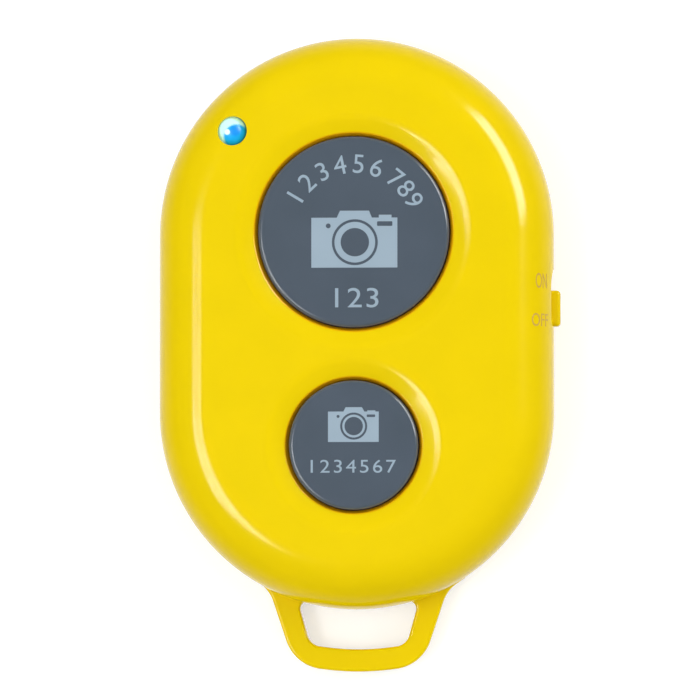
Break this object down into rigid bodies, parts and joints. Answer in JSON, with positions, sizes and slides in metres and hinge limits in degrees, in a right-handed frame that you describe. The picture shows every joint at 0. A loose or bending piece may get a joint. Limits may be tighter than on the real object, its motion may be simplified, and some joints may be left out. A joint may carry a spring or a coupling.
{
  "type": "camera shutter remote",
  "caption": "Pocket wireless shutter remote: rounded glossy case with two round push buttons, side slide switch, indicator lamp, sliding battery door and lanyard loop.",
  "frame": {"origin": "middle of the flat back face, half way between the centres of the body's two round ends", "axes": "+X to the side with the slide switch, +Y towards the lamp end, away from the lanyard loop, +Z out of the button face"},
  "size_m": [0.0402, 0.0634, 0.012],
  "materials": {
    "shell_yellow": "glossy moulded",
    "cap_grey": "satin gloss moulded",
    "lamp_blue": "clear tinted epoxy",
    "board_green": "solder mask",
    "tinned_steel": "tinned",
    "gold_plate": "gold plated",
    "black_plastic": "moulded",
    "tan_ceramic": "fired ceramic",
    "cell_steel": "brushed",
    "cathode_black": "pressed pellet",
    "separator_white": "felt",
    "lithium_grey": "dull metal"
  },
  "bodies": {
    "casing": {"front_shell": "shell_yellow", "rear_shell": "shell_yellow", "circuit_board": "board_green", "board_screws": "tinned_steel", "antenna_trace": "gold_plate", "large_key_base": "black_plastic", "large_key_cover": "tinned_steel", "large_key_dome": "tinned_steel", "large_key_legs": "tinned_steel", "small_key_base": "black_plastic", "small_key_cover": "tinned_steel", "small_key_dome": "tinned_steel", "small_key_legs": "tinned_steel", "lamp_lens": "lamp_blue", "lamp_leads": "tinned_steel", "slide_switch_case": "tinned_steel", "slide_switch_base": "black_plastic", "slide_switch_legs": "tinned_steel", "battery_can": "cell_steel", "battery_gasket": "black_plastic", "battery_cap": "cell_steel", "battery_cathode": "cathode_black", "battery_separator": "separator_white", "battery_lithium": "lithium_grey", "positive_contact": "gold_plate", "negative_contact": "gold_plate", "radio_chip": "black_plastic", "radio_chip_pads": "gold_plate", "memory_chip": "black_plastic", "memory_chip_legs": "tinned_steel", "crystal_base": "tan_ceramic", "crystal_lid": "tinned_steel", "capacitors": "tan_ceramic", "resistors": "black_plastic", "part_end_caps": "tinned_steel"},
    "large_button": {"large_button": "cap_grey"},
    "small_button": {"small_button": "cap_grey"},
    "large_plunger": {"large_key_plunger": "black_plastic"},
    "small_plunger": {"small_key_plunger": "black_plastic"},
    "power_switch": {"switch_knob": "shell_yellow", "slide_switch_slider": "black_plastic"},
    "battery_door": {"battery_door": "shell_yellow"}
  },
  "joints": [
    {"name": "large_button_press", "type": "slide", "parent": "casing", "child": "large_button", "axis": [0, 0, -1], "range_m": [0, 0.0003], "stiffness_N_per_m": 1000, "springref_m": -0.0002},
    {"name": "small_button_press", "type": "slide", "parent": "casing", "child": "small_button", "axis": [0, 0, -1], "range_m": [0, 0.0003], "stiffness_N_per_m": 1000, "springref_m": -0.0002},
    {"name": "large_plunger_press", "type": "slide", "parent": "casing", "child": "large_plunger", "axis": [0, 0, -1], "range_m": [0, 0.0003], "deforming": ["large_key_dome"]},
    {"name": "small_plunger_press", "type": "slide", "parent": "casing", "child": "small_plunger", "axis": [0, 0, -1], "range_m": [0, 0.0003], "deforming": ["small_key_dome"]},
    {"name": "power_slide", "type": "slide", "parent": "casing", "child": "power_switch", "axis": [0, 1, 0], "range_m": [0, 0.002]},
    {"name": "battery_door_slide", "type": "slide", "parent": "casing", "child": "battery_door", "axis": [0, 1, 0], "range_m": [0, 0.036]}
  ],
  "couplings": [
    {"joint": "large_plunger_press", "follows": "large_button_press", "ratio": 1},
    {"joint": "small_plunger_press", "follows": "small_button_press", "ratio": 1}
  ]
}
